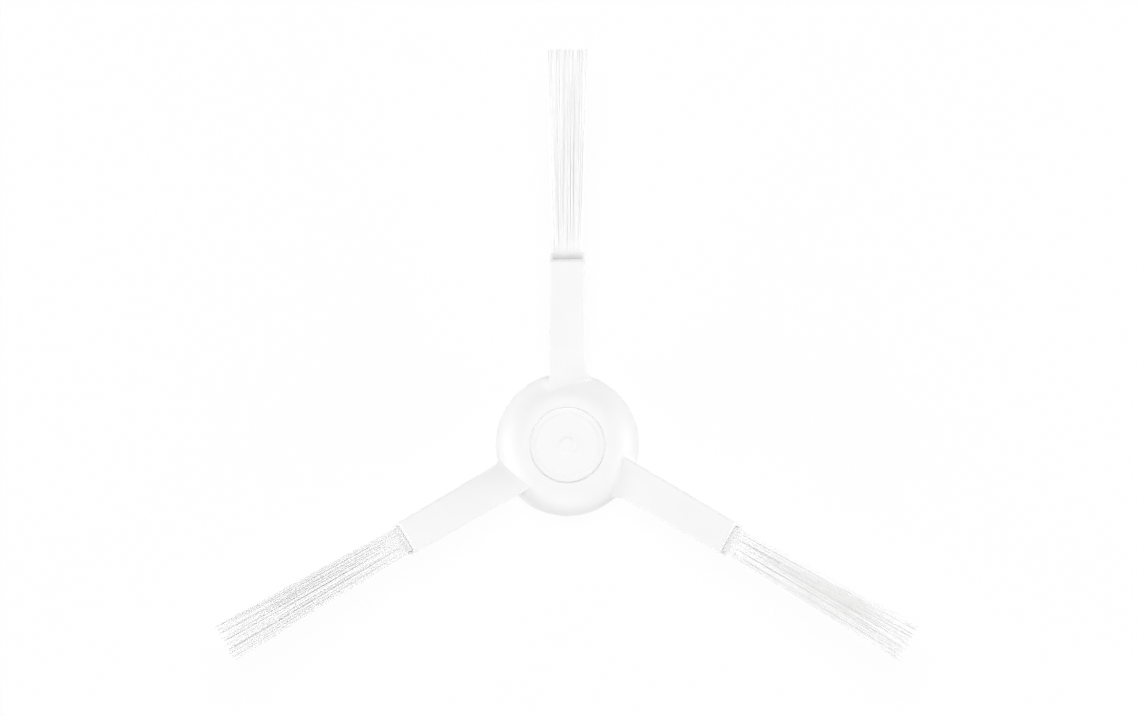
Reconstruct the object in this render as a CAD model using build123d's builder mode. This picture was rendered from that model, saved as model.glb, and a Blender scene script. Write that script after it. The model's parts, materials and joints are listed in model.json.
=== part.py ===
"""Robot vacuum side brush with three soft arms and bristle tufts.

The origin is the centre of the drive socket's mouth, on the back plane of the hub.
+Z is the spin axis, towards the side that faces the floor when the brush is fitted.
+Y runs along the first arm, and the arms follow each other counterclockwise.
All lengths are in millimetres, all angles in degrees.
"""

import os
import random
from math import cos, radians, sin, tan

from build123d import *

# Hub: a straight band and a round dome with a flat crown
# Below the shoulder the round goes on in conical steps, which keep the mesh light
hub_radius = 15.5
hub_height = 13.0
crown_radius = 8.5
shoulder_angle = 30.0
flank_steps = 10
foot_chamfer = 0.4

# The core's front in the dome's opening: a face with a raised disc and a nub, and a fine seam around it
opening_radius = 8.15
seam_chamfer = 0.15
front_step = 0.2
disc_radius = 6.85
disc_height = 0.15
disc_chamfer = 0.1
nub_radius = 1.9
nub_height = 0.3
nub_taper = 60.0

# Hard core under the soft skin: steps that lock into it, with their corners where the dome has these slopes
skin_thickness = 1.5
core_slopes = [65.0, 34.0, 5.0]
core_wall = 1.5
boss_radius = 5.6
rib_count = 6
rib_thickness = 1.1
rib_inset = 2.0

# Drive socket: a square mouth, then a round bore for the spindle's nose
drive_square = 6.0
drive_corner_radius = 0.6
drive_square_depth = 5.0
drive_bore_radius = 2.3
drive_bore_length = 5.2

# Arms: ribbons that rise from the hub and droop on their clockwise side, less and less on the way out
# The counterclockwise edge is straight, and arm_pitch is the tilt across the arm along it
arm_count = 3
first_arm_angle = 90.0
arm_reach = 41.7
arm_root_width = 8.0
arm_tip_width = 7.4
arm_thickness = 3.0
arm_edge_chamfer = 0.25
arm_root_height = 10.35
arm_rise = 10.0
arm_pitch = 6.5
root_droop = 1.95
droop_fade = 2.5
end_slant = 28.7
flare_width = 2.0
flare_length = 4.0
flare_past_hub = 1.5
root_inset = 2.0
flare_steps = 4
straight_steps = 5

# Slot in the arm's end, and the tuft's fused root strip in it
slot_width = 6.05
slot_thickness = 1.05
slot_depth = 6.0
strip_length = 3.5
strip_clearance = 0.05
bristle_margin = 0.1

# Bristle filaments
bristle_reach = 85.0
bristle_diameter = 0.28
bristle_columns = 14
bristle_layers = 3
bristle_sides = 6
tuft_tip_width = 8.6
tuft_tip_thickness = 1.8
bristle_wander = 0.1
bristle_trim = 0.5

dome_radius = hub_radius - crown_radius
dome_foot = hub_height - dome_radius
flank_turn = (90 - shoulder_angle) / flank_steps
front_height = hub_height - front_step
flare_end = hub_radius + flare_past_hub
flare_start = flare_end - flare_length
root_start = crown_radius + root_inset
arm_angles = [first_arm_angle + 360 / arm_count * i for i in range(arm_count)]


def dome_point(slope, depth):
    """Radius and height where the dome has a slope, at a depth under its surface."""
    turn = dome_radius - depth
    return crown_radius + turn * sin(radians(slope)), dome_foot + turn * cos(radians(slope))


core_steps = [dome_point(slope, skin_thickness) for slope in core_slopes]


def inwardness(reach):
    """1 at the foot of the flare, 0 at the arm's end."""
    return min(max((arm_reach - reach) / (arm_reach - flare_start), 0.0), 1.0)


def arm_droop(reach):
    """How far the clockwise edge hangs below the tilt at the counterclockwise edge."""
    return root_droop * inwardness(reach) ** droop_fade


def arm_width(reach):
    """Width of the arm without its root flare."""
    return arm_tip_width + (arm_root_width - arm_tip_width) * inwardness(reach)


def arm_flare(reach):
    """Extra width on the clockwise side, where the arm runs out into the hub."""
    along = min(max((flare_end - reach) / flare_length, 0.0), 1.0)
    return flare_width * along**2


def arm_direction(angle):
    """Level direction out along an arm."""
    return Vector(cos(radians(angle)), sin(radians(angle)), 0)


def arm_middle(reach, angle):
    """Point on the arm's straight middle line."""
    height = arm_root_height + (reach - flare_start) * tan(radians(arm_rise))
    return arm_direction(angle) * reach + Vector(0, 0, height)


def tuft_plane(reach, angle):
    """Plane square across the arm's end: x is the width, y the upper face, z out along the arm."""
    outward = arm_direction(angle)
    up = Vector(0, 0, 1)
    along = outward * cos(radians(arm_rise)) + up * sin(radians(arm_rise))
    above = up * cos(radians(arm_rise)) - outward * sin(radians(arm_rise))
    across = up.cross(outward) * cos(radians(arm_pitch)) + above * sin(radians(arm_pitch))
    return Plane(origin=arm_middle(reach, angle), x_dir=across, z_dir=along)


def end_plane(angle):
    """Slanted plane that ends the arm, with its lower lip further out than the upper."""
    middle = arm_reach - arm_thickness / 2 * tan(radians(arm_rise + end_slant))
    square = tuft_plane(middle, angle)
    normal = square.z_dir * cos(radians(end_slant)) + square.y_dir * sin(radians(end_slant))
    return Plane(origin=square.origin, x_dir=square.x_dir, z_dir=normal)


def slot_floor(angle):
    """Bottom of the tuft slot, facing out along the arm."""
    return tuft_plane(arm_reach - slot_depth, angle)


def arm_stations():
    """Distances from the axis at which the arm's sections stand."""
    flare_step = flare_length / flare_steps
    straight_step = (arm_reach + arm_thickness - flare_end) / straight_steps
    flared = [flare_start + flare_step * i for i in range(flare_steps)]
    straight = [flare_end + straight_step * i for i in range(straight_steps + 1)]
    return [root_start] + flared + straight


# Filled outline of the core: the soft body is moulded over it
with BuildPart() as core_form:
    for radius, height in core_steps + [(opening_radius, front_height)]:
        with BuildSketch():
            Circle(radius)
        extrude(amount=height)

# Hollow in the core's back, divided by the ribs
with BuildPart() as core_hollow:
    for radius, height in core_steps[:-1]:
        with BuildSketch():
            Circle(radius - core_wall)
            Circle(boss_radius, mode=Mode.SUBTRACT)
        extrude(amount=height - core_wall)
    with BuildSketch(Plane.XY.offset(rib_inset)):
        with PolarLocations(0, rib_count):
            Rectangle(hub_radius, rib_thickness, align=(Align.MIN, Align.CENTER))
    extrude(amount=hub_height, mode=Mode.SUBTRACT)

with BuildPart() as drive_core:
    add(core_form.part)
    chamfer(drive_core.faces().sort_by(Axis.Z)[-1].edges(), seam_chamfer)
    with BuildSketch(Plane.XY.offset(front_height)):
        Circle(disc_radius)
    extrude(amount=disc_height)
    chamfer(drive_core.faces().sort_by(Axis.Z)[-1].edges(), disc_chamfer)
    with BuildSketch(Plane.XY.offset(front_height + disc_height)):
        Circle(nub_radius)
    extrude(amount=nub_height, taper=nub_taper)
    add(core_hollow.part, mode=Mode.SUBTRACT)
    with BuildSketch(Plane.XY):
        RectangleRounded(drive_square, drive_square, drive_corner_radius)
    extrude(amount=drive_square_depth, mode=Mode.SUBTRACT)
    with BuildSketch(Plane.XY.offset(drive_square_depth)):
        Circle(drive_bore_radius)
    extrude(amount=drive_bore_length, mode=Mode.SUBTRACT)

drive_core.part.label = "drive_core"


def arm_section(reach, angle):
    """Upright section of an arm, with its corners cut."""
    high = arm_width(reach) / 2
    low = -high - arm_flare(reach)
    tilt = tan(radians(arm_pitch))
    bend = arm_droop(reach) / arm_width(reach) ** 2
    half = arm_thickness / 2
    cut = arm_edge_chamfer

    def middle(x):
        """Height of the arm's middle layer across its width."""
        return tilt * x - bend * (high - x) ** 2

    def face(shift):
        """Line of the upper or the lower face, which is the middle layer's parabola shifted up or down."""
        start = high - cut
        end = low + cut
        turn = middle(start) - (tilt + 2 * bend * cut) * (start - end) / 2
        ends = [(x, middle(x) + shift) for x in (start, end)]
        return Bezier(ends[0], ((start + end) / 2, turn + shift), ends[1])

    upright = Plane(
        origin=arm_middle(reach, angle),
        x_dir=Vector(0, 0, 1).cross(arm_direction(angle)),
        z_dir=arm_direction(angle),
    )
    with BuildSketch(upright) as section:
        with BuildLine():
            upper = face(half)
            lower = face(-half)
            for end, x in enumerate((high, low)):
                Polyline(upper @ end, (x, middle(x) + half - cut), (x, middle(x) - half + cut), lower @ end)
        make_face()
    return section.sketch


def make_arm(angle):
    """One arm with its slanted end and its tuft slot, as far as into the hub's wall."""
    with BuildPart() as arm:
        loft([arm_section(reach, angle) for reach in arm_stations()])
        split(bisect_by=end_plane(angle), keep=Keep.BOTTOM)
        with BuildSketch(slot_floor(angle)):
            Rectangle(slot_width, slot_thickness)
        extrude(amount=slot_depth + arm_thickness, mode=Mode.SUBTRACT)
    return arm.part


with BuildPart() as brush_body:
    with BuildSketch(Plane.XZ):
        with BuildLine():
            shoulder_turn = CenterArc((crown_radius, dome_foot), dome_radius, 90, -shoulder_angle)
            flank_points = [dome_point(shoulder_angle + flank_turn * i, 0) for i in range(flank_steps + 1)]
            flank_line = Polyline(*flank_points, (hub_radius, 0))
            Polyline(flank_line @ 1, (0, 0), (0, hub_height), shoulder_turn @ 0)
        make_face()
    revolve(axis=Axis.Z)
    chamfer(brush_body.faces().sort_by(Axis.Z)[0].edges(), foot_chamfer)
    for angle in arm_angles:
        add(make_arm(angle))
    add(core_form.part, mode=Mode.SUBTRACT)
    with BuildSketch(Plane.XY.offset(front_height)):
        Circle(opening_radius)
    extrude(amount=hub_height, mode=Mode.SUBTRACT)
    chamfer(brush_body.edges(Select.NEW).sort_by(Axis.Z)[-1], seam_chamfer)

brush_body.part.label = "brush_body"


def make_tuft(number, angle):
    """A root strip in the arm's slot with filaments that fan out a little towards their tips."""
    chance = random.Random(number)
    strip_width = slot_width - 2 * strip_clearance
    strip_thickness = slot_thickness - 2 * strip_clearance
    root_span = strip_width - bristle_diameter - 2 * bristle_margin
    tip_span = tuft_tip_width - bristle_diameter
    floor_plane = slot_floor(angle)
    root_plane = floor_plane.offset(strip_length)
    length = (bristle_reach - arm_reach + slot_depth) / cos(radians(arm_rise)) - strip_length
    bristles = []
    with BuildPart() as tuft:
        with BuildSketch(floor_plane):
            Rectangle(strip_width, strip_thickness)
        extrude(amount=strip_length)
        for layer in range(bristle_layers):
            level = (layer + 0.5) / bristle_layers - 0.5
            for column in range(bristle_columns):
                place = (column + 0.5 * (layer % 2)) / (bristle_columns - 0.5) - 0.5
                drift_across = (tip_span - root_span) * place + chance.uniform(-1, 1) * bristle_wander
                drift_up = (tuft_tip_thickness - strip_thickness) * level
                drift_up += chance.uniform(-1, 1) * bristle_wander
                tip = root_plane.from_local_coords(Vector(drift_across, drift_up, length))
                run = length - chance.uniform(0, 1) * bristle_trim
                with BuildSketch(root_plane):
                    with Locations((root_span * place, strip_thickness * level)):
                        RegularPolygon(bristle_diameter / 2, bristle_sides)
                bristles.append(extrude(amount=run, dir=tip - root_plane.origin, mode=Mode.PRIVATE))
        add(bristles)
    tuft.part.label = f"bristle_tuft_{number}"
    return tuft.part


bristle_tufts = [make_tuft(i + 1, angle) for i, angle in enumerate(arm_angles)]

os.makedirs("parts", exist_ok=True)
export_step(brush_body.part, "parts/brush_body.step")
export_step(drive_core.part, "parts/drive_core.step")
for tuft_part in bristle_tufts:
    export_step(tuft_part, f"parts/{tuft_part.label}.step")
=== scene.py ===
"""Robot vacuum side brush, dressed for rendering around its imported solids.

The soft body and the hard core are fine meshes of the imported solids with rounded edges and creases.
The tufts are planted filament by filament in the arms' slots. All lengths are in metres.
"""

import json
import math
import random

import bmesh
import bpy
import numpy as np
from bpy.props import FloatProperty, FloatVectorProperty, IntProperty, PointerProperty
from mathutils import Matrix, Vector


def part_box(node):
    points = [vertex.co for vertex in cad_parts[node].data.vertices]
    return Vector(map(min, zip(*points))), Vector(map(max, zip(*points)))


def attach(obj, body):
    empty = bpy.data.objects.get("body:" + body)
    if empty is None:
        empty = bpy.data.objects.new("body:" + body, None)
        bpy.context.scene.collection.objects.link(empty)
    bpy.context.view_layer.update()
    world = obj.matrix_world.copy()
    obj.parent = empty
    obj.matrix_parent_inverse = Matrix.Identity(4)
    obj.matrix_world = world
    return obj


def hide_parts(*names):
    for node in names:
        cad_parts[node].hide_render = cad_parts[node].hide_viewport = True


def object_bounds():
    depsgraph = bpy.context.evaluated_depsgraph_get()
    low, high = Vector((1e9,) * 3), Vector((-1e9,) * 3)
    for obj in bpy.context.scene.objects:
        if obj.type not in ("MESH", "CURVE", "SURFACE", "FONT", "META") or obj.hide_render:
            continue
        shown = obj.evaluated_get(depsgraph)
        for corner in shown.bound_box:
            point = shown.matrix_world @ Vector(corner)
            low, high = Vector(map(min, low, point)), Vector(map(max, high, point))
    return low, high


bl_info = {
    "name": "Side Brush",
    "version": (1, 0, 0),
    "blender": (4, 5, 0),
    "location": "View3D > Sidebar > Side Brush",
    "description": "Builds a robot vacuum side brush around its packed solids",
    "category": "Add Mesh",
}

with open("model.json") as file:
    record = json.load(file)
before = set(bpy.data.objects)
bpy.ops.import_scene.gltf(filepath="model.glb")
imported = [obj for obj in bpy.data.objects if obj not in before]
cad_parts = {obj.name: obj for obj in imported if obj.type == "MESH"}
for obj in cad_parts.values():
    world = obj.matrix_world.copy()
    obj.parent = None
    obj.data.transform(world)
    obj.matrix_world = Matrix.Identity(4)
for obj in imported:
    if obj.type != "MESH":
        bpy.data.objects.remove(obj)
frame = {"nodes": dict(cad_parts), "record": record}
cad_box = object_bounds()

WHOLE = "root"
TUFT_NODES = sorted(name for name in frame["nodes"] if name.startswith("bristle_tuft"))

# The photograph's frame, and where the hub's centre and the tuft tips are in it, in pixels
PHOTO_WIDTH = 1137
PHOTO_HEIGHT = 716
HUB_PIXEL = (567.4, 445.0)
TIP_PIXELS = 398.0
SENSOR_WIDTH = 36.0

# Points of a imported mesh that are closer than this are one
WELD = 1e-6

# Distances from the axis and how soft the edges are there: crisp at the seam, soft on the dome,
# and less soft on the arms
BODY_SOFTNESS = ((0.0082, 0.0092, 0.0155, 0.0175), (0.12, 1.0, 1.0, 0.4))
CORE_SOFTNESS = ((0.0,), (1.0,))

# A smoothing pass: a step to the neighbours, and a step back
SMOOTHING_STEPS = (0.5, -0.52)

# How a packed tuft's root is found: decimals that tell its points apart, points that give the
# middle of the tips and of the root, and corners of the root's end face
POINT_DECIMALS = 7
TIP_POINTS = 40
ROOT_POINTS = 8
ROOT_CORNERS = 4

# A filament's mesh: points around it, rings along it, and its cut tip in shares of its radius
FILAMENT_SIDES = 8
FILAMENT_RINGS = 12
CUT_RADIUS = 0.7
CUT_LENGTH = 0.3

# Broken edge of the root strip, and how many filament diameters the outer layers keep in from it
STRIP_EDGE = 0.0001
ROOT_INSET = 1.5

# Chance in a tuft: strands and tips stray by shares of a strand's width or of the tuft's depth,
# and strands and filaments are cut short by shares of the trim
STRAND_STRAY = 0.2
TIP_STRAY = 0.12
STRAND_TRIM = 0.6
FILAMENT_TRIM = 0.4

# Moulded surface: how much its grain and its mottling change tone, roughness and relief
GRAIN_DETAIL = 3.0
MOTTLE_DETAIL = 4.0
GRAIN_TONE = 0.012
GRAIN_ROUGHNESS = 0.12
MOTTLE_ROUGHNESS = 0.25
MOTTLE_RELIEF = 2.0

# Drawn filaments: how much each one and its streaks change tone and roughness
STREAK_SIZE = 0.0008
STREAK_DETAIL = 3.0
STREAK_TONE = 0.03
STREAK_ROUGHNESS = 0.2
FILAMENT_TONE = 0.03
FILAMENT_ROUGHNESS = 0.1

BUMP_STRENGTH = 0.5
WHITE = (1.0, 1.0, 1.0, 1.0)
FLOOR_PAINT = (0.92, 0.92, 0.92, 1.0)

# Where the lamps stand and how wide they are
KEY_PLACE = (0.0, 0.371, 1.141)
KEY_WIDTH = 0.5
LEFT_PLACE = (-0.704, 0.0, 0.15)
RIGHT_PLACE = (0.704, 0.0, 0.15)
SIDE_WIDTH = 0.28
NEAR_PLACE = (0.0, -0.7, 0.25)
NEAR_WIDTH = 0.4


def slot_colour(slot):
    """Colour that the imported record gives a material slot."""
    return next(m["base_color"] for m in frame["record"]["materials"] if m["slot"] == slot)


def colour_property(name, description, slot):
    """A colour setting whose default is the record's."""
    return FloatVectorProperty(
        name=name,
        description=description,
        subtype="COLOR",
        size=3,
        min=0,
        max=1,
        default=slot_colour(slot),
    )


def length_property(name, description, default):
    """A length setting in metres."""
    return FloatProperty(
        name=name, description=description, default=default, min=0, unit="LENGTH", precision=5
    )


def power_property(name, description, default):
    """A lamp's power in watts."""
    return FloatProperty(name=name, description=description, default=default, min=0, unit="POWER")


def share_property(name, description, default):
    """A setting from 0 to 1."""
    return FloatProperty(
        name=name, description=description, default=default, min=0, max=1, subtype="FACTOR"
    )


class SideBrushMouldings(bpy.types.PropertyGroup):
    """Mesh and finish of the soft body and the hard core."""

    body_grid: length_property("Body Mesh", "Spacing of the soft body's fine mesh", 0.00015)
    body_softening: IntProperty(
        name="Body Softening",
        description="Passes that round the soft body's edges",
        default=24,
        min=0,
    )
    body_triangles: IntProperty(
        name="Body Triangles",
        description="Triangles of the finished soft body",
        default=180000,
        min=1000,
    )
    body_colour: colour_property("Body Colour", "Colour of the soft body", "soft_white")
    body_roughness: share_property("Body Roughness", "Roughness of the soft body", 0.5)
    body_grain: length_property("Body Grain", "Size of the soft body's surface grain", 0.0003)
    core_grid: length_property("Core Mesh", "Spacing of the hard core's fine mesh", 0.00015)
    core_softening: IntProperty(
        name="Core Softening",
        description="Passes that round the hard core's edges",
        default=1,
        min=0,
    )
    core_triangles: IntProperty(
        name="Core Triangles",
        description="Triangles of the finished hard core",
        default=150000,
        min=1000,
    )
    core_colour: colour_property("Core Colour", "Colour of the hard core", "hard_white")
    core_roughness: share_property("Core Roughness", "Roughness of the hard core", 0.45)
    core_grain: length_property("Core Grain", "Size of the hard core's surface grain", 0.00018)


class SideBrushTufts(bpy.types.PropertyGroup):
    """Shape and finish of the bristle tufts."""

    columns: IntProperty(name="Columns", description="Filaments across a tuft", default=31, min=2)
    layers: IntProperty(name="Layers", description="Layers of filaments in a tuft", default=3, min=1)
    diameter: length_property("Diameter", "Thickness of a filament", 0.00022)
    tip_width: length_property("Tip Width", "Width of a tuft at its tips", 0.0086)
    tip_depth: length_property("Tip Depth", "Depth of a tuft at its tips", 0.0012)
    strands: IntProperty(
        name="Strands", description="Strands that the filaments draw together in", default=10, min=2
    )
    gather: share_property("Gather", "How far tips are drawn to the middle of their strand", 0.55)
    bow: length_property("Bow", "How far a filament bows out of line", 0.0001)
    trim: length_property("Trim", "Uneven length of the cut tips", 0.0006)
    seed: IntProperty(name="Seed", description="Choice of the chance variations", default=7)
    colour: colour_property("Colour", "Colour of the filaments", "bristle_white")
    roughness: share_property("Roughness", "Roughness of the filaments", 0.45)


class SideBrushStage(bpy.types.PropertyGroup):
    """Floor, lamps and camera."""

    camera_height: length_property("Camera Height", "Height of the camera over the floor", 1.5)
    floor_size: length_property("Floor Size", "Side of the floor", 6.0)
    floor_drop: length_property("Floor Drop", "Gap under the brush that keeps the faces apart", 0.00002)
    floor_white: share_property("Floor White", "How much of the floor's white is its own", 0.95)
    sky: FloatProperty(
        name="Sky", description="Strength of the light from all round", default=0.22, min=0
    )
    bounces: IntProperty(
        name="Bounces", description="How often light passes between the filaments", default=12, min=1
    )
    key_lamp: power_property("Key Lamp", "Power of the lamp high over the first arm", 8.3)
    side_lamps: power_property("Side Lamps", "Power of the low lamps left and right", 1.8)
    near_lamp: power_property("Near Lamp", "Power of the low lamp on the near side", 2.1)


def link(piece):
    """Puts an object in the scene."""
    bpy.context.scene.collection.objects.link(piece)
    return piece


def dress(piece, node, material):
    """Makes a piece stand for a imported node, with its finish."""
    piece.data.materials.clear()
    piece.data.materials.append(material)
    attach(piece, WHOLE)
    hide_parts(node)


def relaxed(points, edges, passes, softness):
    """Points smoothed along a mesh's edges, each by its own share.

    A pass draws each point to its neighbours and then back by a little more, so the form keeps
    its size.
    """
    neighbours = np.bincount(edges.ravel(), minlength=len(points))[:, None]
    for step in SMOOTHING_STEPS * passes:
        total = np.zeros_like(points)
        for axis in range(3):
            for here, there in (edges.T, edges.T[::-1]):
                total[:, axis] += np.bincount(here, points[there, axis], len(points))
        points = points + step * softness * (total / neighbours - points)
    return points


def reshape(form, kind, **settings):
    """Gives a form the mesh that a modifier makes of it."""
    modifier = form.modifiers.new(kind, kind)
    for setting, value in settings.items():
        setattr(modifier, setting, value)
    bpy.context.view_layer.update()
    shaped = form.evaluated_get(bpy.context.evaluated_depsgraph_get())
    before = form.data
    form.data = bpy.data.meshes.new_from_object(shaped)
    form.modifiers.clear()
    bpy.data.meshes.remove(before)


def mesh_points(mesh):
    """Points of a mesh, one in a row."""
    points = np.zeros(len(mesh.vertices) * 3)
    mesh.vertices.foreach_get("co", points)
    return points.reshape(-1, 3)


def moulded_copy(node, name, grid, passes, softness, triangles):
    """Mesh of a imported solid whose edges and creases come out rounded.

    It is remeshed on a fine grid, relaxed, and then thinned where it is flat.
    """
    welded = bmesh.new()
    welded.from_mesh(frame["nodes"][node].data)
    bmesh.ops.remove_doubles(welded, verts=welded.verts, dist=WELD)
    form = link(bpy.data.objects.new(name, bpy.data.meshes.new(name)))
    welded.to_mesh(form.data)
    welded.free()
    reshape(form, "REMESH", mode="VOXEL", voxel_size=grid)
    points = mesh_points(form.data)
    edges = np.zeros(len(form.data.edges) * 2, np.int32)
    form.data.edges.foreach_get("vertices", edges)
    share = np.interp(np.hypot(points[:, 0], points[:, 1]), *softness)[:, None]
    points = relaxed(points, edges.reshape(-1, 2), passes, share)
    form.data.vertices.foreach_set("co", points.ravel())
    made = len(form.data.loops) - 2 * len(form.data.polygons)
    reshape(form, "DECIMATE", ratio=min(triangles / made, 1.0))
    form.data.name = name
    form.data.vertices.foreach_set("co", np.clip(mesh_points(form.data), *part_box(node)).ravel())
    form.data.polygons.foreach_set("use_smooth", np.ones(len(form.data.polygons), bool))
    form.data.update()
    return form


def unit(vector):
    """A vector's direction."""
    return vector / np.linalg.norm(vector)


class TuftRoot:
    """Where a packed tuft stands: the middle of its root, its axes and its sizes."""

    def __init__(self, node):
        points = mesh_points(frame["nodes"][node].data).round(POINT_DECIMALS)
        points = np.unique(points, axis=0)
        up = np.array((0.0, 0.0, 1.0))
        outward = unit(points.mean(axis=0) * (1, 1, 0))
        by_reach = points[np.argsort(points @ outward)]
        heading = unit(by_reach[-TIP_POINTS:].mean(axis=0) - by_reach[:ROOT_POINTS].mean(axis=0))
        corners = points[np.argsort(points @ heading)[:ROOT_CORNERS]]
        spans = corners - corners[0]
        lengths = np.linalg.norm(spans, axis=1)
        order = np.argsort(lengths)
        self.thickness = lengths[order[1]]
        self.width = lengths[order[2]]
        above = unit(spans[order[1]])
        across = unit(spans[order[2]])
        self.above = above * np.sign(above @ up)
        self.across = across * np.sign(across @ np.cross(up, outward))
        self.along = np.cross(self.across, self.above)
        self.middle = corners.mean(axis=0)
        levels = np.sort((points - self.middle) @ self.along)
        self.strip = levels[ROOT_CORNERS]
        self.length = levels[-1]

    def place(self, points):
        """Points given across, above and along, in the brush's frame."""
        return self.middle + points @ np.array((self.across, self.above, self.along))


def add_tube(points, faces, rings):
    """Adds a closed tube through rings of as many points each."""
    start = len(points)
    count = len(rings[0])
    for ring in rings:
        points.extend(ring)
    for level in range(len(rings) - 1):
        low = start + level * count
        high = low + count
        for i in range(count):
            j = (i + 1) % count
            faces.append((low + i, low + j, high + j, high + i))
    faces.append(tuple(range(start + count - 1, start - 1, -1)))
    last = start + (len(rings) - 1) * count
    faces.append(tuple(range(last, last + count)))


def filament_rings(root, tip, lean, length, radius):
    """Rings of one filament, from its root to a cut tip.

    It spreads in depth early, so that the tuft fills the slot's mouth, and leans to its strand late.
    """
    turns = np.linspace(0, 2 * math.pi, FILAMENT_SIDES, endpoint=False)
    section = radius * np.column_stack((np.cos(turns), np.sin(turns), np.zeros(FILAMENT_SIDES)))
    rings = []
    for t in np.linspace(0, 1, FILAMENT_RINGS):
        across = root[0] + (tip[0] - root[0]) * t + lean[0] * t**3 + lean[2] * math.sin(math.pi * t)
        above = root[1] + (tip[1] - root[1]) * math.sqrt(t) + lean[1] * t**3
        rings.append(section + (across, above, length * t))
    rings.append(section * CUT_RADIUS + (across, above, length + radius * CUT_LENGTH))
    return rings


def strip_rings(width, thickness, length, edge):
    """Rings of the fused root strip, with its edges broken."""
    x = width / 2
    y = thickness / 2
    outline = [
        (x - edge, -y),
        (x, edge - y),
        (x, y - edge),
        (x - edge, y),
        (edge - x, y),
        (-x, y - edge),
        (-x, edge - y),
        (edge - x, -y),
    ]
    section = np.array([(a, b, 0.0) for a, b in outline])
    inset = section * (1 - 2 * edge / width, 1 - 2 * edge / thickness, 1)
    return [inset, section + (0, 0, edge), section + (0, 0, length - edge), inset + (0, 0, length)]


def tuft_mesh(node, name, look, chance):
    """Mesh of a tuft: the fused root strip and its filaments."""
    root = TuftRoot(node)
    points = []
    faces = []
    add_tube(points, faces, strip_rings(root.width, root.thickness, root.strip, STRIP_EDGE))
    radius = look.diameter / 2
    root_span = root.width - look.diameter
    root_depth = root.thickness - ROOT_INSET * look.diameter
    tip_span = look.tip_width - look.diameter
    tip_depth = look.tip_depth - look.diameter
    strand_width = tip_span / (look.strands - 1)
    strand_middles = [
        i * strand_width - tip_span / 2
        + chance.uniform(-STRAND_STRAY, STRAND_STRAY) * strand_width
        for i in range(look.strands)
    ]
    strand_trims = [chance.uniform(0, STRAND_TRIM) * look.trim for _ in range(look.strands)]
    for layer in range(look.layers):
        level = layer / max(look.layers - 1, 1) - 0.5
        for column in range(look.columns):
            place = (column + 0.5 * (layer % 2)) / (look.columns - 0.5) - 0.5
            tip_across = tip_span * place + chance.gauss(0, TIP_STRAY) * strand_width
            tip_above = tip_depth * level + chance.gauss(0, TIP_STRAY) * tip_depth
            strand = min(range(look.strands), key=lambda i: abs(strand_middles[i] - tip_across))
            lean = (
                (strand_middles[strand] - tip_across) * look.gather,
                -tip_above * look.gather * chance.uniform(0, 1),
                chance.uniform(-1, 1) * look.bow,
            )
            length = root.length - root.strip - radius - strand_trims[strand]
            length -= chance.uniform(0, FILAMENT_TRIM) * look.trim
            start = (root_span * place, root_depth * level)
            rings = filament_rings(start, (tip_across, tip_above), lean, length, radius)
            add_tube(points, faces, [ring + (0, 0, root.strip) for ring in rings])
    placed = np.clip(root.place(np.array(points)), *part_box(node))
    mesh = bpy.data.meshes.new(name)
    mesh.from_pydata(placed.tolist(), [], faces)
    mesh.polygons.foreach_set("use_smooth", np.array([len(face) == 4 for face in faces]))
    mesh.update()
    return mesh


def group_socket(tree, name, kind, out=False, default=None):
    """Adds a named input or output to a node group."""
    socket = tree.interface.new_socket(
        name=name, in_out="OUTPUT" if out else "INPUT", socket_type=kind
    )
    if default is not None:
        socket.default_value = default


def math_node(tree, operation, first, second):
    """A math node of two values, each a socket or a number."""
    node = tree.nodes.new("ShaderNodeMath")
    node.operation = operation
    for socket, value in zip(node.inputs, (first, second)):
        if isinstance(value, bpy.types.NodeSocket):
            tree.links.new(value, socket)
        else:
            socket.default_value = value
    return node.outputs[0]


def noise(tree, place, size, detail):
    """Noise of a grain size, centred on zero."""
    node = tree.nodes.new("ShaderNodeTexNoise")
    tree.links.new(place, node.inputs["Vector"])
    tree.links.new(math_node(tree, "DIVIDE", 1.0, size), node.inputs["Scale"])
    node.inputs["Detail"].default_value = detail
    return math_node(tree, "SUBTRACT", node.outputs["Fac"], 0.5)


def shaded(tree, colour, factor):
    """A colour times a factor."""
    node = tree.nodes.new("ShaderNodeVectorMath")
    node.operation = "SCALE"
    tree.links.new(colour, node.inputs[0])
    tree.links.new(factor, node.inputs["Scale"])
    return node.outputs[0]


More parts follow.
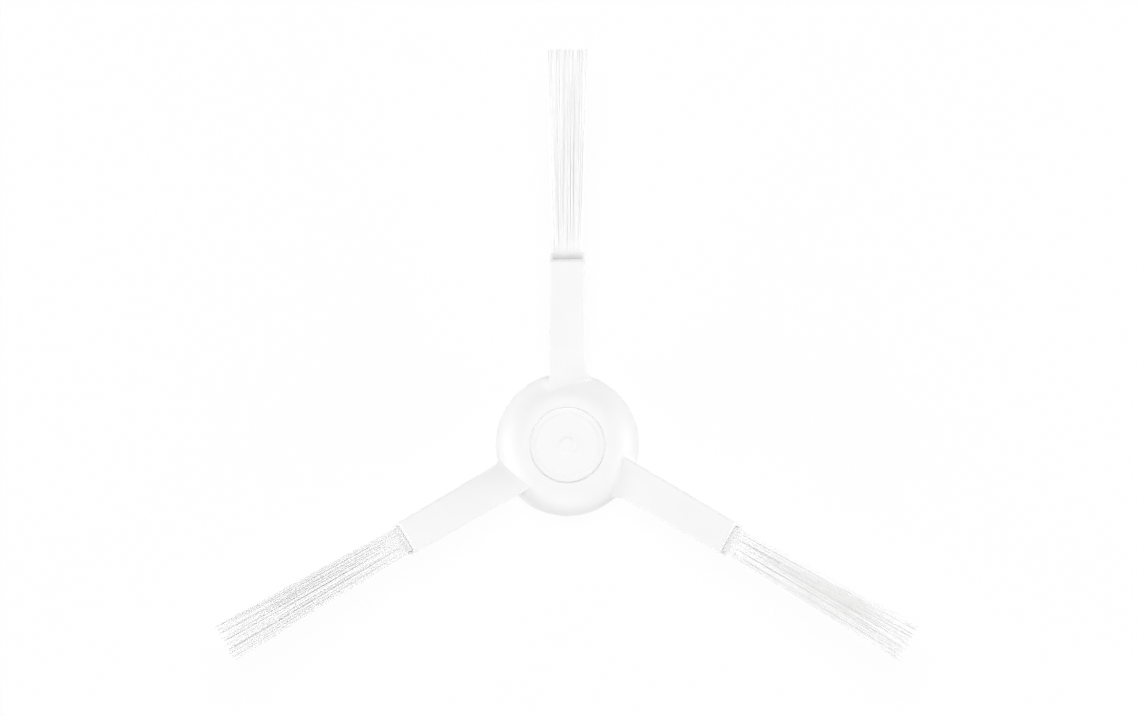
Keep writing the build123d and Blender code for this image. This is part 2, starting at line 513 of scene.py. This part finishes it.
def moulded_grain():
    """Node group of a moulded surface: fine grain, slow mottling, and roughness to match."""
    tree = bpy.data.node_groups.new("Moulded Grain", "ShaderNodeTree")
    group_socket(tree, "Colour", "NodeSocketColor")
    group_socket(tree, "Roughness", "NodeSocketFloat", default=0.5)
    group_socket(tree, "Grain Size", "NodeSocketFloat", default=0.0003)
    group_socket(tree, "Mottle Size", "NodeSocketFloat", default=0.004)
    group_socket(tree, "Mottle", "NodeSocketFloat", default=0.03)
    group_socket(tree, "Colour", "NodeSocketColor", out=True)
    group_socket(tree, "Roughness", "NodeSocketFloat", out=True)
    group_socket(tree, "Height", "NodeSocketFloat", out=True)
    given = tree.nodes.new("NodeGroupInput").outputs
    made = tree.nodes.new("NodeGroupOutput").inputs
    place = tree.nodes.new("ShaderNodeTexCoord").outputs["Object"]
    grain = noise(tree, place, given["Grain Size"], GRAIN_DETAIL)
    mottle = noise(tree, place, given["Mottle Size"], MOTTLE_DETAIL)
    mottling = math_node(tree, "MULTIPLY", mottle, given["Mottle"])
    speckle = math_node(tree, "MULTIPLY", grain, GRAIN_TONE)
    tone = math_node(tree, "ADD", math_node(tree, "ADD", mottling, speckle), 1.0)
    tree.links.new(shaded(tree, given["Colour"], tone), made["Colour"])
    patches = math_node(tree, "MULTIPLY", mottle, MOTTLE_ROUGHNESS)
    specks = math_node(tree, "MULTIPLY", grain, GRAIN_ROUGHNESS)
    rougher = math_node(tree, "ADD", patches, specks)
    tree.links.new(math_node(tree, "ADD", given["Roughness"], rougher), made["Roughness"])
    waves = math_node(tree, "MULTIPLY", mottle, MOTTLE_RELIEF)
    relief = math_node(tree, "ADD", grain, waves)
    tree.links.new(relief, made["Height"])
    return tree


def drawn_filament():
    """Node group of drawn filaments: a tone for each one and fine lengthwise streaks."""
    tree = bpy.data.node_groups.new("Drawn Filament", "ShaderNodeTree")
    group_socket(tree, "Colour", "NodeSocketColor")
    group_socket(tree, "Roughness", "NodeSocketFloat", default=0.45)
    group_socket(tree, "Streak Size", "NodeSocketFloat", default=STREAK_SIZE)
    group_socket(tree, "Colour", "NodeSocketColor", out=True)
    group_socket(tree, "Roughness", "NodeSocketFloat", out=True)
    group_socket(tree, "Height", "NodeSocketFloat", out=True)
    given = tree.nodes.new("NodeGroupInput").outputs
    made = tree.nodes.new("NodeGroupOutput").inputs
    place = tree.nodes.new("ShaderNodeTexCoord").outputs["Object"]
    each = tree.nodes.new("ShaderNodeNewGeometry").outputs["Random Per Island"]
    streak = noise(tree, place, given["Streak Size"], STREAK_DETAIL)
    own_tone = math_node(tree, "MULTIPLY", math_node(tree, "SUBTRACT", each, 0.5), FILAMENT_TONE)
    streak_tone = math_node(tree, "MULTIPLY", streak, STREAK_TONE)
    tone = math_node(tree, "ADD", math_node(tree, "ADD", own_tone, streak_tone), 1.0)
    tree.links.new(shaded(tree, given["Colour"], tone), made["Colour"])
    own_roughness = math_node(tree, "MULTIPLY", each, FILAMENT_ROUGHNESS)
    streak_roughness = math_node(tree, "MULTIPLY", streak, STREAK_ROUGHNESS)
    rougher = math_node(tree, "ADD", own_roughness, given["Roughness"])
    tree.links.new(math_node(tree, "ADD", rougher, streak_roughness), made["Roughness"])
    tree.links.new(streak, made["Height"])
    return tree


def finish_material(name, group, values, relief, specular):
    """A material whose colour, roughness and relief come from a node group."""
    material = bpy.data.materials.new(name)
    material.use_nodes = True
    tree = material.node_tree
    shader = tree.nodes["Principled BSDF"]
    shader.inputs["Specular IOR Level"].default_value = specular
    surface = tree.nodes.new("ShaderNodeGroup")
    surface.node_tree = group
    for socket, value in values.items():
        surface.inputs[socket].default_value = value
    bump = tree.nodes.new("ShaderNodeBump")
    bump.inputs["Strength"].default_value = BUMP_STRENGTH
    bump.inputs["Distance"].default_value = relief
    tree.links.new(surface.outputs["Colour"], shader.inputs["Base Color"])
    tree.links.new(surface.outputs["Roughness"], shader.inputs["Roughness"])
    tree.links.new(surface.outputs["Height"], bump.inputs["Height"])
    tree.links.new(bump.outputs["Normal"], shader.inputs["Normal"])
    return material


def shared_group(maker, name):
    """A node group that is built once and used by each material that needs it."""
    return bpy.data.node_groups.get(name) or maker()


def soft_white(look):
    """Satin white of the soft body."""
    values = {
        "Colour": (*look.body_colour, 1.0),
        "Roughness": look.body_roughness,
        "Grain Size": look.body_grain,
        "Mottle Size": 0.006,
        "Mottle": 0.03,
    }
    group = shared_group(moulded_grain, "Moulded Grain")
    return finish_material("soft_white", group, values, relief=0.000012, specular=0.4)


def hard_white(look):
    """Smoother white of the hard core."""
    values = {
        "Colour": (*look.core_colour, 1.0),
        "Roughness": look.core_roughness,
        "Grain Size": look.core_grain,
        "Mottle Size": 0.003,
        "Mottle": 0.02,
    }
    group = shared_group(moulded_grain, "Moulded Grain")
    return finish_material("hard_white", group, values, relief=0.000006, specular=0.5)


def bristle_white(look):
    """White of the drawn filaments."""
    values = {
        "Colour": (*look.colour, 1.0),
        "Roughness": look.roughness,
        "Streak Size": STREAK_SIZE,
    }
    group = shared_group(drawn_filament, "Drawn Filament")
    return finish_material("bristle_white", group, values, relief=0.000004, specular=0.35)


def seen_directly(tree):
    """1 for the camera and for what mirrors or lets through its view, otherwise 0."""
    path = tree.nodes.new("ShaderNodeLightPath").outputs
    mirrored = math_node(tree, "MAXIMUM", path["Is Glossy Ray"], path["Is Transmission Ray"])
    return math_node(tree, "MAXIMUM", path["Is Camera Ray"], mirrored)


def floor_material(own_white):
    """Matt white floor.

    In the camera's view a share of its white is its own, and the rest takes shadows.
    """
    material = bpy.data.materials.new("pale_floor")
    material.use_nodes = True
    tree = material.node_tree
    tree.nodes.clear()
    paint = tree.nodes.new("ShaderNodeBsdfDiffuse")
    paint.inputs["Color"].default_value = FLOOR_PAINT
    glow = tree.nodes.new("ShaderNodeEmission")
    mix = tree.nodes.new("ShaderNodeMixShader")
    share = math_node(tree, "MULTIPLY", seen_directly(tree), own_white)
    tree.links.new(share, mix.inputs["Fac"])
    tree.links.new(paint.outputs[0], mix.inputs[1])
    tree.links.new(glow.outputs[0], mix.inputs[2])
    tree.links.new(mix.outputs[0], tree.nodes.new("ShaderNodeOutputMaterial").inputs["Surface"])
    return material


def white_sky(strength):
    """World that is white to the camera and lights the brush softly from all round."""
    world = bpy.data.worlds.new("white_sky")
    world.use_nodes = True
    tree = world.node_tree
    tree.nodes.clear()
    light = tree.nodes.new("ShaderNodeBackground")
    light.inputs["Strength"].default_value = strength
    white = tree.nodes.new("ShaderNodeBackground")
    for background in (light, white):
        background.inputs["Color"].default_value = WHITE
    mix = tree.nodes.new("ShaderNodeMixShader")
    tree.links.new(seen_directly(tree), mix.inputs["Fac"])
    tree.links.new(light.outputs[0], mix.inputs[1])
    tree.links.new(white.outputs[0], mix.inputs[2])
    tree.links.new(mix.outputs[0], tree.nodes.new("ShaderNodeOutputWorld").inputs["Surface"])
    return world


def add_lamp(name, place, width, power):
    """A square soft lamp that faces the brush."""
    light = bpy.data.lights.new(name, "AREA")
    light.shape = "SQUARE"
    light.size = width
    light.energy = power
    lamp = link(bpy.data.objects.new(name, light))
    lamp.location = place
    lamp.rotation_euler = (-Vector(place)).to_track_quat("-Z", "Y").to_euler()
    lamp.visible_camera = False


def add_camera(height):
    """Camera straight above, with the hub and the tuft tips where the photograph has them."""
    high = cad_box[1]
    hub_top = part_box("drive_core")[1].z
    pixel_at_tips = high.y / TIP_PIXELS
    to_tips = height - high.z
    pixel_at_hub = pixel_at_tips * (height - hub_top) / to_tips
    data = bpy.data.cameras.new("camera")
    data.sensor_width = SENSOR_WIDTH
    data.sensor_fit = "HORIZONTAL"
    data.lens = SENSOR_WIDTH * to_tips / (pixel_at_tips * PHOTO_WIDTH)
    camera = link(bpy.data.objects.new("camera", data))
    camera.location = (
        (PHOTO_WIDTH / 2 - HUB_PIXEL[0]) * pixel_at_hub,
        (HUB_PIXEL[1] - PHOTO_HEIGHT / 2) * pixel_at_hub,
        height,
    )
    bpy.context.scene.camera = camera


class SIDEBRUSH_OT_mould_body(bpy.types.Operator):
    """Mould the soft body: hub skin and arms"""

    bl_idname = "sidebrush.mould_body"
    bl_label = "Mould Soft Body"

    def execute(self, context):
        look = context.scene.side_brush_mouldings
        body = moulded_copy(
            "brush_body",
            "soft_body",
            look.body_grid,
            look.body_softening,
            BODY_SOFTNESS,
            look.body_triangles,
        )
        dress(body, "brush_body", soft_white(look))
        return {"FINISHED"}


class SIDEBRUSH_OT_mould_core(bpy.types.Operator):
    """Mould the hard core: front disc, stepped wall, ribs and drive socket"""

    bl_idname = "sidebrush.mould_core"
    bl_label = "Mould Hard Core"

    def execute(self, context):
        look = context.scene.side_brush_mouldings
        core = moulded_copy(
            "drive_core",
            "hard_core",
            look.core_grid,
            look.core_softening,
            CORE_SOFTNESS,
            look.core_triangles,
        )
        dress(core, "drive_core", hard_white(look))
        return {"FINISHED"}


class SIDEBRUSH_OT_plant_tufts(bpy.types.Operator):
    """Plant the bristle tufts in the arms' slots"""

    bl_idname = "sidebrush.plant_tufts"
    bl_label = "Plant Bristle Tufts"

    def execute(self, context):
        look = context.scene.side_brush_tufts
        material = bristle_white(look)
        for number, node in enumerate(TUFT_NODES, 1):
            name = f"filament_tuft_{number}"
            mesh = tuft_mesh(node, name, look, random.Random(look.seed + number))
            tuft = link(bpy.data.objects.new(name, mesh))
            dress(tuft, node, material)
        return {"FINISHED"}


class SIDEBRUSH_OT_set_stage(bpy.types.Operator):
    """Set up the floor, the lamps and the camera"""

    bl_idname = "sidebrush.set_stage"
    bl_label = "Set Up Stage"

    def execute(self, context):
        stage = context.scene.side_brush_stage
        half = stage.floor_size / 2
        level = cad_box[0].z - stage.floor_drop
        corners = [
            (-half, -half, level),
            (half, -half, level),
            (half, half, level),
            (-half, half, level),
        ]
        mesh = bpy.data.meshes.new("floor")
        mesh.from_pydata(corners, [], [(0, 1, 2, 3)])
        mesh.materials.append(floor_material(stage.floor_white))
        link(bpy.data.objects.new("floor", mesh))
        context.scene.world = white_sky(stage.sky)
        add_lamp("lamp_key", KEY_PLACE, KEY_WIDTH, stage.key_lamp)
        add_lamp("lamp_left", LEFT_PLACE, SIDE_WIDTH, stage.side_lamps)
        add_lamp("lamp_right", RIGHT_PLACE, SIDE_WIDTH, stage.side_lamps)
        add_lamp("lamp_near", NEAR_PLACE, NEAR_WIDTH, stage.near_lamp)
        add_camera(stage.camera_height)
        context.scene.cycles.diffuse_bounces = stage.bounces
        context.scene.view_settings.view_transform = "Standard"
        return {"FINISHED"}


OPERATORS = (
    SIDEBRUSH_OT_mould_body,
    SIDEBRUSH_OT_mould_core,
    SIDEBRUSH_OT_plant_tufts,
    SIDEBRUSH_OT_set_stage,
)
SETTINGS = {
    "side_brush_mouldings": SideBrushMouldings,
    "side_brush_tufts": SideBrushTufts,
    "side_brush_stage": SideBrushStage,
}


class SIDEBRUSH_PT_build(bpy.types.Panel):
    """Settings and steps of the side brush"""

    bl_idname = "SIDEBRUSH_PT_build"
    bl_label = "Side Brush"
    bl_space_type = "VIEW_3D"
    bl_region_type = "UI"
    bl_category = "Side Brush"

    def draw(self, context):
        for name, group in SETTINGS.items():
            box = self.layout.box()
            for setting in group.__annotations__:
                box.prop(getattr(context.scene, name), setting)
        for operator in OPERATORS:
            self.layout.operator(operator.bl_idname)


CLASSES = (*SETTINGS.values(), *OPERATORS, SIDEBRUSH_PT_build)


def register():
    for cls in CLASSES:
        bpy.utils.register_class(cls)
    for name, group in SETTINGS.items():
        setattr(bpy.types.Scene, name, PointerProperty(type=group))


def unregister():
    for name in SETTINGS:
        delattr(bpy.types.Scene, name)
    for cls in reversed(CLASSES):
        bpy.utils.unregister_class(cls)


def main():
    """Builds the brush and its stage."""
    register()
    bpy.ops.sidebrush.mould_body()
    bpy.ops.sidebrush.mould_core()
    bpy.ops.sidebrush.plant_tufts()
    bpy.ops.sidebrush.set_stage()


if __name__ == "__main__":
    main()
